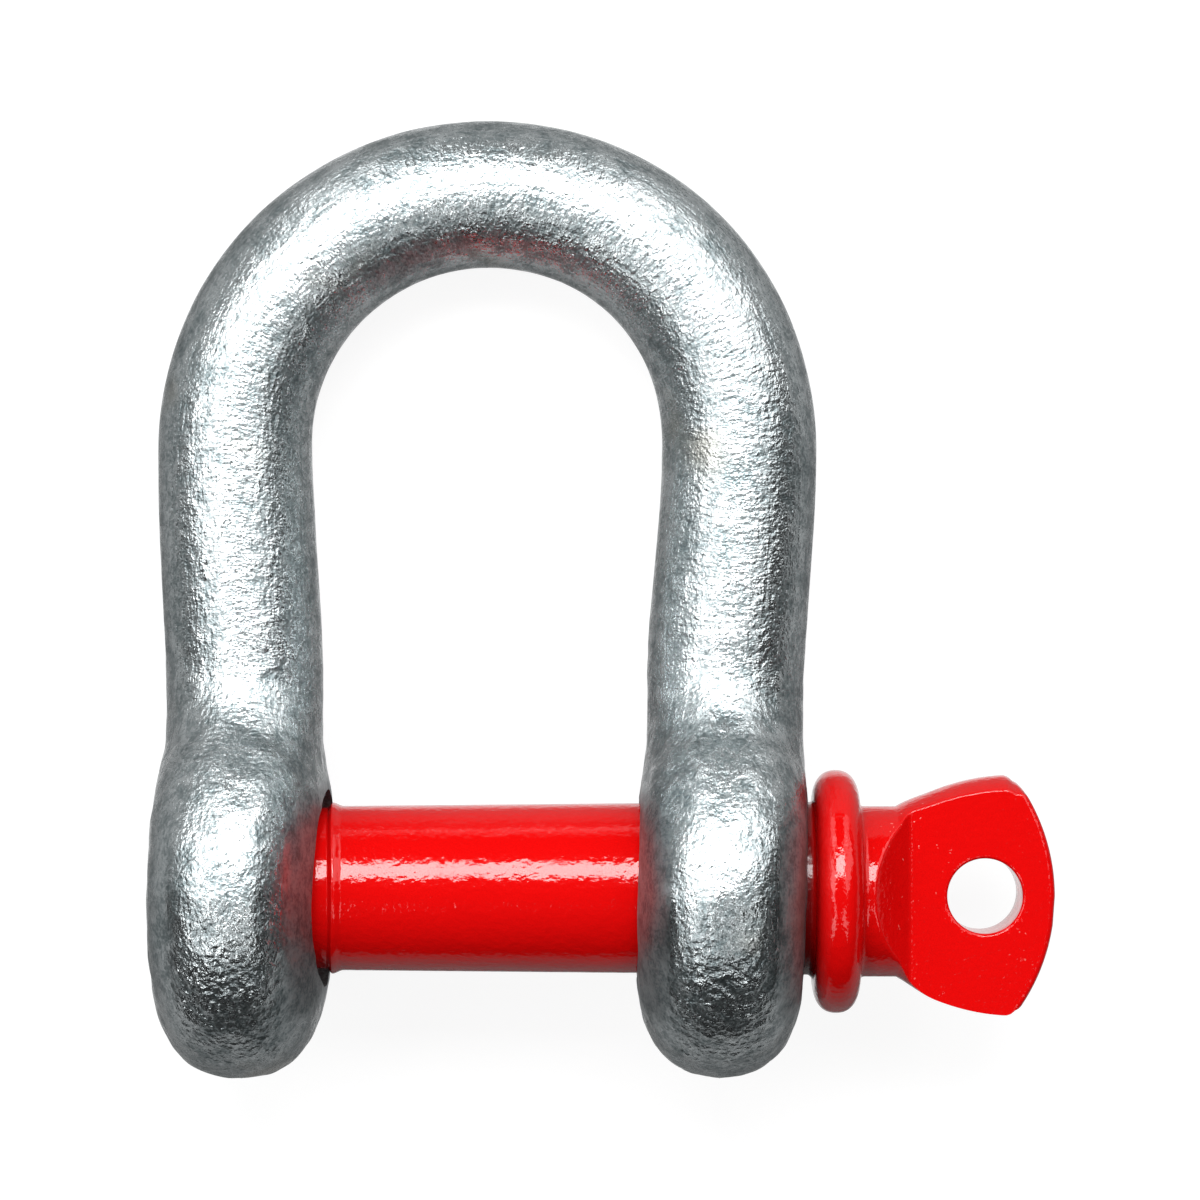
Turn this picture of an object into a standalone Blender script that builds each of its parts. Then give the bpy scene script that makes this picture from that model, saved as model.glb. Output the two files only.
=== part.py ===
"""A screw pin chain shackle: a forged bow with two eyes, and a screw pin with a collar and a flat, drilled head.

Both pieces are drawn in the shackle's own frame. Its origin is the middle of the bow on the pin's axis, x runs along
the pin towards its head, y from the pin to the crown, and z out of the bow's plane. The shackle is then laid down as
it rests on a floor: on the rims of its two eyes and on its crown.
"""

import math
from collections import namedtuple

import bmesh
import bpy
import numpy as np

# Bow: bar
CROWN_SPINE_RADIUS = 0.0389
CROWN_TO_PIN = 0.1067
CROWN_BAR_RADIUS = 0.0114
SHOULDER_BAR_RADIUS = 0.0120
FOOT_BAR_RADIUS = 0.0123
RIGHT_SHOULDER_OFFSET = 0.0386
RIGHT_CROWN_FULLNESS = 0.00035

# Bow: eyes. The left one holds the pin's thread, the right one its plain shank.
EYE_RIM_RADIUS = 0.0294
EYE_FLATNESS = 4.5
EYE_ROUNDNESS = 2.1
EYE_NECK_FILLET = 0.015
LEFT_EYE_THICKNESS = 0.0277
LEFT_EYE_OFFSET = 0.0379
LEFT_FOOT_OFFSET = 0.0374
RIGHT_EYE_THICKNESS = 0.0266
RIGHT_EYE_OFFSET = 0.0356
RIGHT_FOOT_OFFSET = 0.0364
FOOT_HEIGHT = 0.028
SPREAD_HEIGHT = -0.006
BLEND_POWER = 24

# Pin: shank and threaded end
SHANK_RADIUS_AT_THREAD = 0.0126
SHANK_RADIUS_AT_COLLAR = 0.0133
THREAD_RADIUS = 0.01315
THREAD_PAST_FACE = 0.0002
THREAD_RUNOUT = 0.0012
END_CHAMFER = 0.0015

# Fits between pin and bow
THREAD_CLEARANCE = 0.0003
SHANK_CLEARANCE = 0.0007
COLLAR_GAP = 0.0012
MOUTH_DEPTH = 0.0035
MOUTH_CLEARANCE = 0.00185

# Pin: collar and neck
COLLAR_RADIUS = 0.01865
COLLAR_THICKNESS = 0.0071
COLLAR_POWER = 2.3
COLLAR_FILLET = 0.0008
COLLAR_DROP = 0.0005
NECK_RADIUS = 0.0131
NECK_LENGTH = 0.0057

# Pin: flat head
HEAD_LENGTH = 0.0297
HEAD_HALF_WIDTH = 0.0183
HEAD_THICKNESS = 0.012
HEAD_DROP = 0.0009
HEAD_END_RADIUS = 0.030
HEAD_CORNER_RADIUS = 0.0015
LOWER_EDGE_POWER = 5.0
RAMP_ANGLE = math.radians(52)
RAMP_START = 0.0019
EYE_HOLE_RADIUS = 0.00575
EYE_HOLE_FROM_END = 0.0107
EYE_HOLE_CHAMFER = 0.0004

# Fineness
RING_POINTS = 40
TURNED_POINTS = 56
EYE_SECTIONS = 11
FILLET_SECTIONS = 5
LEG_SECTIONS = 5
CROWN_SECTIONS = 22
FAN_SECTIONS = 12
COLLAR_SECTIONS = 7
ARC_POINTS = 25
CUTTER_MARGIN = 0.004
SHARP_EDGE = math.radians(40)

# One side of the bow: its sign along x, and the sizes that differ between left and right
Side = namedtuple("Side", "sign thickness eye_offset foot_offset shoulder_offset")
LEFT = Side(-1, LEFT_EYE_THICKNESS, LEFT_EYE_OFFSET, LEFT_FOOT_OFFSET, CROWN_SPINE_RADIUS)
RIGHT = Side(1, RIGHT_EYE_THICKNESS, RIGHT_EYE_OFFSET, RIGHT_FOOT_OFFSET, RIGHT_SHOULDER_OFFSET)


def eye_half_thickness(side, radius):
    """Half the eye's thickness this far from the pin's axis: nearly flat round the hole, rounded off at the rim."""
    share = np.minimum(radius / EYE_RIM_RADIUS, 1.0)
    return side.thickness / 2 * (1 - share**EYE_FLATNESS) ** (1 / EYE_ROUNDNESS)


# Places that follow from the sizes above
SHOULDER_HEIGHT = CROWN_TO_PIN - CROWN_SPINE_RADIUS
LEFT_INNER_X = -LEFT_EYE_OFFSET + LEFT_EYE_THICKNESS / 2
THREAD_START_X = LEFT_INNER_X + THREAD_PAST_FACE
LEFT_BORE_RADIUS = THREAD_RADIUS + THREAD_CLEARANCE
RIGHT_BORE_RADIUS = SHANK_RADIUS_AT_COLLAR + SHANK_CLEARANCE
MOUTH_RADIUS = THREAD_RADIUS + MOUTH_CLEARANCE
PIN_END_X = -LEFT_EYE_OFFSET - eye_half_thickness(LEFT, LEFT_BORE_RADIUS)
COLLAR_X = RIGHT_EYE_OFFSET + eye_half_thickness(RIGHT, RIGHT_BORE_RADIUS) + COLLAR_GAP
NECK_X = COLLAR_X + COLLAR_THICKNESS
FAN_X = NECK_X + NECK_LENGTH
HEAD_END_X = NECK_X + HEAD_LENGTH
EYE_HOLE_X = HEAD_END_X - EYE_HOLE_FROM_END


def make_material(name, colour, metallic, roughness):
    """A plain metal or paint with one colour."""
    material = bpy.data.materials.new(name)
    material.use_nodes = True
    shader = material.node_tree.nodes["Principled BSDF"]
    shader.inputs["Base Color"].default_value = (*colour, 1)
    shader.inputs["Metallic"].default_value = metallic
    shader.inputs["Roughness"].default_value = roughness
    return material


def make_object(name, points, faces):
    """A new object with this mesh, its faces pointing out."""
    mesh = bpy.data.meshes.new(name)
    mesh.from_pydata([tuple(point) for point in points], [], faces)
    shape = bmesh.new()
    shape.from_mesh(mesh)
    bmesh.ops.recalc_face_normals(shape, faces=shape.faces)
    shape.to_mesh(mesh)
    shape.free()
    made = bpy.data.objects.new(name, mesh)
    bpy.context.scene.collection.objects.link(made)
    return made


def loft(name, rings):
    """A closed skin through rings of points. A first or last ring of one point is a pole, a longer one gets a cap."""
    starts = np.cumsum([0] + [len(ring) for ring in rings])
    faces = []
    for low, high, below, above in zip(starts, starts[1:], rings, rings[1:]):
        count = max(len(below), len(above))
        for j in range(count):
            k = (j + 1) % count
            if len(below) == 1:
                faces.append((low, high + k, high + j))
            elif len(above) == 1:
                faces.append((low + j, low + k, high))
            else:
                faces.append((low + j, low + k, high + k, high + j))
    for start, ring in ((starts[0], rings[0]), (starts[-2], rings[-1])):
        if len(ring) > 1:
            faces.append(tuple(range(start, start + len(ring))))
    return make_object(name, np.concatenate(rings), [tuple(int(i) for i in face) for face in faces])


def round_ring(x, radius, centre_y=0.0, count=TURNED_POINTS):
    """One round section about the x axis, or about a line beside it."""
    angles = np.arange(count) * math.tau / count
    return np.stack([np.full(count, x), centre_y + radius * np.cos(angles), radius * np.sin(angles)], axis=1)


def turned(name, profile):
    """A solid turned about the x axis, from (x, radius) points between its two flat ends."""
    return loft(name, [round_ring(x, radius) for x, radius in profile])


def prism(name, outline, axis, half_depth):
    """An outline of (x, height) points pulled both ways along y or z, by half_depth each way."""
    x, height = np.array(outline).T
    rings = []
    for depth in (-half_depth, half_depth):
        across = np.full(len(x), depth)
        rings.append(np.stack([x, across, height] if axis == "y" else [x, height, across], axis=1))
    return loft(name, rings)


def cut(target, cutter):
    """Takes the cutter's shape out of the target and hides the cutter."""
    modifier = target.modifiers.new(cutter.name, "BOOLEAN")
    modifier.operation = "DIFFERENCE"
    modifier.solver = "EXACT"
    modifier.object = cutter
    cutter.hide_render = True
    cutter.display_type = "WIRE"
    cutter.parent = target


def smooth_step(start, end, share):
    """Goes from start to end with a level tangent at both, as share goes from 0 to 1."""
    share = min(max(share, 0.0), 1.0)
    return start + (end - start) * share * share * (3 - 2 * share)


def neck_tangents():
    """The heights where the fillet between eye and leg leaves the eye's round rim, and where it meets the leg."""
    top = math.sqrt((EYE_RIM_RADIUS + EYE_NECK_FILLET) ** 2 - (FOOT_BAR_RADIUS + EYE_NECK_FILLET) ** 2)
    return top * EYE_RIM_RADIUS / (EYE_RIM_RADIUS + EYE_NECK_FILLET), top


def leg_radius(height):
    """The leg's bar swells a little from the shoulder down to its foot."""
    foot = neck_tangents()[1]
    return smooth_step(SHOULDER_BAR_RADIUS, FOOT_BAR_RADIUS, (SHOULDER_HEIGHT - height) / (SHOULDER_HEIGHT - foot))


def half_depth(height):
    """Half the bow's depth at this height: the eye's round rim, the fillet at its neck, then the leg's bar."""
    low, top = neck_tangents()
    if height <= low:
        return math.sqrt(max(EYE_RIM_RADIUS**2 - height**2, 0.0))
    if height < top:
        return FOOT_BAR_RADIUS + EYE_NECK_FILLET - math.sqrt(EYE_NECK_FILLET**2 - (top - height) ** 2)
    return leg_radius(height)


def side_offset(side, height):
    """How far a section's middle is from the bow's middle: the legs close in a little towards the eyes."""
    if height > FOOT_HEIGHT:
        share = (SHOULDER_HEIGHT - height) / (SHOULDER_HEIGHT - FOOT_HEIGHT)
        return smooth_step(side.shoulder_offset, side.foot_offset, share)
    share = (height - SPREAD_HEIGHT) / (FOOT_HEIGHT - SPREAD_HEIGHT)
    return smooth_step(side.eye_offset, side.foot_offset, share)


def side_heights():
    """The heights of one side's sections, from the eye's lowest point to just under the shoulder."""
    low, top = neck_tangents()
    below = [-EYE_RIM_RADIUS * math.cos(math.pi / 2 * i / EYE_SECTIONS) for i in range(1, EYE_SECTIONS + 1)]
    return np.concatenate([
        below,
        np.linspace(0, low, EYE_SECTIONS)[1:],
        np.linspace(low, top, FILLET_SECTIONS + 1)[1:],
        np.linspace(top, SHOULDER_HEIGHT, LEG_SECTIONS + 1)[1:-1],
    ])


def side_rings(side):
    """Level sections of one eye and its leg, from the bottom up. Each is as wide as the turned eye or the leg's
    ellipse, whichever is wider there, with a soft change between them."""
    angles = np.arange(RING_POINTS) * math.tau / RING_POINTS
    rings = [np.array([[side.sign * side.eye_offset, -EYE_RIM_RADIUS, 0.0]])]
    for height in side_heights():
        deep = half_depth(height) * np.sin(angles)
        eye = eye_half_thickness(side, np.hypot(height, deep))
        leg = smooth_step(0.0, leg_radius(height), 2 * height / FOOT_HEIGHT) * np.abs(np.cos(angles))
        wide = (eye**BLEND_POWER + leg**BLEND_POWER) ** (1 / BLEND_POWER)
        across = side_offset(side, height) + np.sign(np.cos(angles)) * wide
        rings.append(np.stack([side.sign * across, np.full(RING_POINTS, height), deep], axis=1))
    return rings


def crown_reach(turn):
    """How far the crown's middle line is from the centre of its bend. It is fullest half way down its right side."""
    if turn > math.pi / 2:
        return CROWN_SPINE_RADIUS
    reach = smooth_step(RIGHT_SHOULDER_OFFSET, CROWN_SPINE_RADIUS, turn / (math.pi / 2))
    return reach + RIGHT_CROWN_FULLNESS * math.sin(2 * turn) ** 2


def crown_rings():
    """Round sections along the crown, from the left shoulder to the right. The bar is thinnest at the top."""
    angles = np.arange(RING_POINTS) * math.tau / RING_POINTS
    rings = []
    for turn in np.linspace(math.pi, 0, CROWN_SECTIONS + 1):
        radius = SHOULDER_BAR_RADIUS + (CROWN_BAR_RADIUS - SHOULDER_BAR_RADIUS) * math.sin(turn)
        reach = crown_reach(turn) + radius * np.cos(angles)
        rings.append(np.stack([
            reach * math.cos(turn),
            SHOULDER_HEIGHT + reach * math.sin(turn),
            radius * np.sin(angles),
        ], axis=1))
    return rings


def make_bow(material):
    """The forged bow: one loft from eye to eye over the crown, then its two bores."""
    bow = loft("bow", side_rings(LEFT) + crown_rings() + side_rings(RIGHT)[::-1])
    bow.data.materials.append(material)

    mouth_x = LEFT_INNER_X - MOUTH_DEPTH
    cone_x = mouth_x - (MOUTH_RADIUS - LEFT_BORE_RADIUS)
    cut(bow, turned("left_bore_cutter", [
        (-LEFT_EYE_OFFSET - LEFT_EYE_THICKNESS / 2 - CUTTER_MARGIN, LEFT_BORE_RADIUS),
        (cone_x, LEFT_BORE_RADIUS),
        (mouth_x, MOUTH_RADIUS),
        (LEFT_INNER_X + CUTTER_MARGIN, MOUTH_RADIUS),
    ]))
    cut(bow, turned("right_bore_cutter", [
        (RIGHT_EYE_OFFSET - RIGHT_EYE_THICKNESS / 2 - CUTTER_MARGIN, RIGHT_BORE_RADIUS),
        (RIGHT_EYE_OFFSET + RIGHT_EYE_THICKNESS / 2 + CUTTER_MARGIN, RIGHT_BORE_RADIUS),
    ]))
    return bow


def fan_half_width(x):
    """Half the head's width: it leaves the neck at an angle, curves out to full width and turns in at its corners."""
    widest_x = HEAD_END_X - HEAD_END_RADIUS + math.sqrt(HEAD_END_RADIUS**2 - HEAD_HALF_WIDTH**2)
    share = min(max((x - FAN_X) / (widest_x - FAN_X), 0.0), 1.0)
    width = NECK_RADIUS + (HEAD_HALF_WIDTH - NECK_RADIUS) * (1 - (1 - share) ** 2)
    past = min(max(x - widest_x + HEAD_CORNER_RADIUS, 0.0), HEAD_CORNER_RADIUS)
    return width - HEAD_CORNER_RADIUS + math.sqrt(HEAD_CORNER_RADIUS**2 - past**2 * 0.75)


def fan_ring(x):
    """One section of the head before it is flattened: its upper side stays elliptical, its lower side is squarer."""
    angles = np.arange(TURNED_POINTS) * math.tau / TURNED_POINTS
    up, out = np.cos(angles), np.sin(angles)
    power = 2 / smooth_step(2.0, LOWER_EDGE_POWER, (x - FAN_X) / NECK_LENGTH)
    lower = up < 0
    up = np.where(lower, -(np.abs(up) ** power), up)
    out = np.where(lower, np.sign(out) * np.abs(out) ** power, out)
    drop = smooth_step(COLLAR_DROP, HEAD_DROP, (x - FAN_X) / NECK_LENGTH)
    return np.stack([
        np.full(TURNED_POINTS, x),
        -drop + fan_half_width(x) * up,
        NECK_RADIUS * out,
    ], axis=1)


def collar_rings():
    """The collar: a fillet at the shank, a full round rim, and a fillet at the neck."""
    middle = COLLAR_X + COLLAR_THICKNESS / 2
    rings = []
    for angle in np.linspace(0, math.pi, 2 * COLLAR_SECTIONS + 1):
        base = SHANK_RADIUS_AT_COLLAR if angle < math.pi / 2 else NECK_RADIUS
        rise = math.sin(angle) ** (2 / COLLAR_POWER)
        run = math.copysign(abs(math.cos(angle)) ** (2 / COLLAR_POWER), -math.cos(angle))
        radius = base + COLLAR_FILLET + (COLLAR_RADIUS - base - COLLAR_FILLET) * rise
        rings.append(round_ring(middle + run * COLLAR_THICKNESS / 2, radius, -COLLAR_DROP))
    return rings


def flat_cutters():
    """What is pressed away at the front and back of the head: a ramp down from the neck, then the flat."""
    flat = HEAD_THICKNESS / 2
    above = COLLAR_RADIUS + CUTTER_MARGIN
    ramp_x = NECK_X + RAMP_START
    foot_x = ramp_x + (NECK_RADIUS - flat) / math.tan(RAMP_ANGLE)
    lip_x = (NECK_X + ramp_x) / 2
    lip = NECK_RADIUS + (ramp_x - lip_x) * math.tan(RAMP_ANGLE)
    past_x = HEAD_END_X + 2 * CUTTER_MARGIN
    outline = [(lip_x, above), (lip_x, lip), (foot_x, flat), (past_x, flat), (past_x, above)]
    wide = HEAD_HALF_WIDTH + CUTTER_MARGIN
    front = prism("front_flat_cutter", outline, "y", wide)
    back = prism("back_flat_cutter", [(x, -z) for x, z in outline], "y", wide)
    return front, back


def end_cutter():
    """What is trimmed off past the head's round end."""
    centre_x = HEAD_END_X - HEAD_END_RADIUS
    past_x = HEAD_END_X + 2 * CUTTER_MARGIN
    spread = math.asin(min((HEAD_HALF_WIDTH + CUTTER_MARGIN) / HEAD_END_RADIUS, 0.95))
    arc = [
        (centre_x + HEAD_END_RADIUS * math.cos(turn), HEAD_END_RADIUS * math.sin(turn) - HEAD_DROP)
        for turn in np.linspace(spread, -spread, ARC_POINTS)
    ]
    outline = [(past_x, arc[0][1])] + arc + [(past_x, arc[-1][1])]
    return prism("end_cutter", outline, "z", NECK_RADIUS + CUTTER_MARGIN)


def eye_cutter():
    """The hole through the flat head, with both of its edges broken."""
    flat = HEAD_THICKNESS / 2
    flared = EYE_HOLE_RADIUS + EYE_HOLE_CHAMFER + CUTTER_MARGIN
    cutter = turned("eye_cutter", [
        (-flat - CUTTER_MARGIN, flared),
        (-flat + EYE_HOLE_CHAMFER, EYE_HOLE_RADIUS),
        (flat - EYE_HOLE_CHAMFER, EYE_HOLE_RADIUS),
        (flat + CUTTER_MARGIN, flared),
    ])
    cutter.location = (EYE_HOLE_X, -HEAD_DROP, 0)
    cutter.rotation_euler = (0, math.pi / 2, 0)
    return cutter


def make_pin(material):
    """The screw pin: threaded end, shank, collar, neck and fan in one loft, then flattened, trimmed and drilled."""
    rings = [
        round_ring(PIN_END_X, THREAD_RADIUS - END_CHAMFER),
        round_ring(PIN_END_X + END_CHAMFER, THREAD_RADIUS),
        round_ring(THREAD_START_X, THREAD_RADIUS),
        round_ring(THREAD_START_X + THREAD_RUNOUT, SHANK_RADIUS_AT_THREAD),
        round_ring(COLLAR_X - COLLAR_FILLET, SHANK_RADIUS_AT_COLLAR),
    ]
    rings += collar_rings()
    rings.append(round_ring(NECK_X + COLLAR_FILLET, NECK_RADIUS, -COLLAR_DROP))
    rings += [fan_ring(x) for x in np.linspace(FAN_X, HEAD_END_X + CUTTER_MARGIN, FAN_SECTIONS + 1)]
    pin = loft("pin", rings)
    pin.data.materials.append(material)
    for cutter in (*flat_cutters(), end_cutter(), eye_cutter()):
        cut(pin, cutter)
    return pin


def shade_smooth(shape):
    """Smooth shading, with crisp edges where the faces turn by more than a rounded forging does."""
    shape.data.shade_smooth()
    shape.data.set_sharp_from_angle(angle=SHARP_EDGE)


def lay_down(frame, pieces):
    """Tilts the bow so that its crown reaches the floor with its eyes, and centres it over the origin."""
    tilt = math.asin((EYE_RIM_RADIUS - CROWN_BAR_RADIUS) / CROWN_TO_PIN)
    crown_y = CROWN_TO_PIN * math.cos(tilt) + CROWN_BAR_RADIUS
    frame.rotation_euler = (-tilt, 0, 0)
    frame.location = (-(PIN_END_X + HEAD_END_X) / 2, (EYE_RIM_RADIUS - crown_y) / 2, EYE_RIM_RADIUS)
    for piece in pieces:
        piece.parent = frame


def main():
    for old in list(bpy.data.objects):
        bpy.data.objects.remove(old)
    zinc = make_material("galvanised_steel", (0.50, 0.53, 0.54), 1.0, 0.35)
    paint = make_material("red_paint", (0.80, 0.01, 0.01), 0.0, 0.2)
    bow = make_bow(zinc)
    pin = make_pin(paint)
    for piece in (bow, pin):
        shade_smooth(piece)
    frame = bpy.data.objects.new("pin_axis", None)
    bpy.context.scene.collection.objects.link(frame)
    lay_down(frame, (bow, pin))


main()
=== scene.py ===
"""Looks of a chain joining shackle: a galvanised forged bow and a red screw pin, lying on a pale floor.

Both pieces are drawn in the shackle's own frame, in metres: x along the pin towards its head, y from the
pin to the crown, z out of the bow's plane. place() then lays them down as the CAD part lies.

Bow, one closed skin over stations (along the bar) and angles t (round it):
  leg and eye, at height y:  z = D(y) sin t,  x = +-(offset(y) + sign(cos t) W),  W = (E^24 + L^24)^(1/24)
     D is the round eye's half depth sqrt(R^2 - y^2), then a fillet, then the leg's radius r(y)
     L = r(y) |cos t|
     E = T/2 (1 - (q/R)^p)^(1/n), q = sqrt(y^2 + z^2), p = 4.5, n = 2.1, and on the left eye's inner face
     p = 4.5 - 2.74 f(s), n = 2.1 + 0.5 f(s), s = max(z + b, 0) / (q + b), b = 12 mm,
     f(s) = (sqrt(s^2 + 0.15^2) - 0.15) / 0.861
  crown, at turn a from pi to 0:  (g cos a, S + g sin a, r sin t) with g = reach(a) + r cos t, r = r(a)
  Then every point moves inwards along its normal by the forging's skin: waves and pits all over, the
  pits deepest on the eyes' lower halves, hammer dents on the eyes and necks, and ripples round the necks.
Pin, one closed skin over stations and angles t from +y:
  thread, shank, collar and neck: y = R(x, t) cos t - drop, z = R(x, t) sin t, where the thread's R
  follows x/pitch - t/2pi
  head: y = w(x) cos t, z = n sin t, squarer below, with |z| held under the pressed flat f(x) by a soft
  minimum, and x stretched so that the last ring lies on the head's round end.
The two bores and the head's hole are turned cutters that are taken out of these skins.
"""

import math

import bmesh
import bpy
import numpy as np
from mathutils import Matrix, Vector


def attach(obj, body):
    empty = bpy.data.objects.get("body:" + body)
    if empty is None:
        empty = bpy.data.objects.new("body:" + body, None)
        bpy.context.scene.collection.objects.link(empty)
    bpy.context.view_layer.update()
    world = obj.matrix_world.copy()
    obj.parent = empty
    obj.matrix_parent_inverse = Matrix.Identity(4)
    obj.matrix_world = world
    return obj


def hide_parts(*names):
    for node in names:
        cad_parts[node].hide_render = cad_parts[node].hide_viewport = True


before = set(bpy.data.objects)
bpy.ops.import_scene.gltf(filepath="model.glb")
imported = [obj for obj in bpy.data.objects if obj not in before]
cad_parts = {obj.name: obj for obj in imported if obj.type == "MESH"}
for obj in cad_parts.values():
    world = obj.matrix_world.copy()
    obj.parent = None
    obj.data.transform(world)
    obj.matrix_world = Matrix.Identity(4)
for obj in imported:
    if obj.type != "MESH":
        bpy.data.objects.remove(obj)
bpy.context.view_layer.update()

MM = 0.001
CRISP = math.radians(38)

# Bow, with the CAD part's sizes. The bores' fillets meet each eye at FACE_SHARE of its half thickness
CROWN_TO_PIN, CROWN_SPINE, CROWN_BULGE = 0.1067, 0.0389, 0.00035
CROWN_BAR, SHOULDER_BAR, FOOT_BAR = 0.0114, 0.0120, 0.0123
RIM, NECK_FILLET = 0.0294, 0.015
SHOULDER_Y, FOOT_Y, SPREAD_Y = CROWN_TO_PIN - CROWN_SPINE, 0.028, -0.006
FILLET_TOP = math.sqrt((RIM + NECK_FILLET) ** 2 - (FOOT_BAR + NECK_FILLET) ** 2)
FILLET_LOW = FILLET_TOP * RIM / (RIM + NECK_FILLET)
LEFT = dict(sign=-1, eased=1.0, thick=0.0277, eye=0.0379, foot=0.0374, shoulder=0.0389)
RIGHT = dict(sign=1, eased=0.0, thick=0.0266, eye=0.0356, foot=0.0364, shoulder=0.0386)
FLATNESS, EASED_FLATNESS = 4.5, 1.76
ROUNDNESS, EASED_ROUNDNESS = 2.1, 2.6
EASE, SET_BACK = 0.15, 0.012
JOIN_POWER, FACE_SHARE = 24, 0.985

# Where the CAD part lies: turned about x, then moved
TILT = math.asin((RIM - CROWN_BAR) / CROWN_TO_PIN)
PLACE = (-0.01756, -0.043585, RIM)

# The forging's skin: how deep each pattern goes, and the size of its cells
SKIN_DEPTH, WAVE_DEPTH, DENT_DEPTH, RIPPLE_DEPTH = 0.00006, 0.00016, 0.00028, 0.00014
PIT_DEPTH, EYE_PIT_DEPTH = 0.00003, 0.00013
LONG_WAVE, SHORT_WAVE, DENT_CELL, PIT_CELL, RIPPLE_CELL = 0.0140, 0.0065, 0.0050, 0.0022, 0.0020
LONG_SHARE, SHORT_SHARE, UPPER_SHARE = 0.7, 0.3, 0.25
RIPPLE_SQUEEZE = np.array([0.35, 1.0, 0.35])

# Zones of y where the skin changes, each as (its beginning, its length)
EYE_ENDS, LOWER_ENDS = (0.024, 0.014), (-0.006, 0.012)
NECK_BEGINS, NECK_ENDS = (0.012, 0.008), (0.034, 0.010)

# Bores and thread
BORE_LEFT, BORE_RIGHT, BORE_FILLET = 0.01345, 0.0140, 0.0008
MOUTH, MOUTH_X, MOUTH_RAMP, MOUTH_PAST = 0.01515, -0.0290, 0.0014, 0.0016
PITCH, THREAD_CREST, THREAD_ROOT, GROOVE_DEPTH = 0.003175, 0.01315, 0.01125, 0.0011
ROOT_SHARE, FLANK_SHARE = 0.16, 0.62
GROOVE_RUN_IN, GROOVE_SHORT, GROOVE_RUN_OUT = 0.003, 0.0010, 0.0012
CUTTER_PAST, LEFT_CUTTER_END = 0.004, -0.0190

# Pin, from its threaded end to its collar
PIN_END_X, END_FACE_IN, CHAMFER = -0.05115, 0.0017, 0.0015
THREAD_STEP, THREAD_ROWS = 0.000223, 112
THREAD_ENDS, BAND_BEGINS = (-0.0288, 0.0018), (MOUTH_X, 0.0020)
BAND, SHANK, SHANK_AT_COLLAR = 0.01238, 0.01262, 0.0133
RIDGE_X, RIDGE_TOP_X, SHANK_X = -0.0247, -0.0239, -0.0214
RIDGE_RISE, RIDGE_FALL = (-0.02465, 0.00075), (RIDGE_TOP_X, 0.0017)
RIDGE_LEAN, LEAN_X, LEAN_REACH = 0.0006, -0.0240, 0.0022
COLLAR_X, COLLAR_THICK, COLLAR_R, COLLAR_POWER = 0.049873, 0.0071, 0.01865, 2.3
COLLAR_FILLET, COLLAR_DROP = 0.0008, 0.0005

# Pin's neck and head
NECK_X, NECK_R, NECK_LENGTH = COLLAR_X + COLLAR_THICK, 0.0131, 0.0057
FAN_X, HEAD_END_X = NECK_X + NECK_LENGTH, NECK_X + 0.0297
HALF_WIDTH, FLAT, HEAD_DROP, HEAD_SQUARENESS = 0.0183, 0.006, 0.0009, 5.0
END_R, CORNER_R, CORNER_SHARE, HEAD_EDGE = 0.030, 0.0015, 0.75, 0.0009
RAMP_X, RAMP_SLOPE = NECK_X + 0.0019, math.tan(math.radians(52))
RAMP_SOFTNESS, FLAT_SOFTNESS = 0.00022, 0.00012
FINE_ROWS_END, STRETCH_X = FAN_X + 0.0025, FAN_X + 0.002
HOLE_X, HOLE_R, HOLE_FILLET = HEAD_END_X - 0.0107, 0.00575, 0.0005
FLAT_EDGES, EDGE_CROWDING, EDGE_REACH = (27.3, 171.8, 188.2, 332.7), 4.5, math.radians(2.6)

# Fineness of the meshes
BOW_AROUND, LEFT_AROUND, HOLE_AROUND, PIN_AROUND = 112, 128, 112, 220
EYE_ROWS, UPPER_EYE_ROWS, FILLET_ROWS, LEG_ROWS, CROWN_ROWS = 80, 45, 25, 57, 221
POLE_IN, ROW_GAP, FIRST_ROW = 0.0001, 0.0001, 0.00005
MERGE_GAP, DEGENERATE_GAP = 0.00002, 0.000005


def smooth(start, end, share):
    """From start to end while the share goes from 0 to 1, along share^2 (3 - 2 share)."""
    share = np.clip(share, 0.0, 1.0)
    return start + (end - start) * share * share * (3 - 2 * share)


def fade(start, end, value, zone):
    """From start to end while the value crosses the zone, which is (its beginning, its length)."""
    return smooth(start, end, (value - zone[0]) / zone[1])


def place(points):
    """Lays points of the shackle's own frame down on the floor: turned by the tilt about x, then moved."""
    x, y, z = points[..., 0], points[..., 1], points[..., 2]
    c, s = math.cos(TILT), math.sin(TILT)
    return np.stack([x + PLACE[0], y * c + z * s + PLACE[1], -y * s + z * c + PLACE[2]], axis=-1)


def around_angles(count):
    """Evenly spaced angles once round."""
    return np.arange(count) * math.tau / count


def hashed(ix, iy, iz, seed):
    """A fixed number from 0 to 1 for each lattice point: large odd factors, then shifts that mix the bits."""
    bits = 0xFFFFFFFF
    h = (ix.astype(np.int64) * 374761393 + iy.astype(np.int64) * 668265263
         + iz.astype(np.int64) * 2147483647 + seed * 1274126177) & bits
    h = ((h ^ (h >> 13)) * 1274126177) & bits
    h = ((h ^ (h >> 16)) * 2246822519) & bits
    return ((h ^ (h >> 15)) & 0xFFFFFF) / float(0xFFFFFF)


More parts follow.
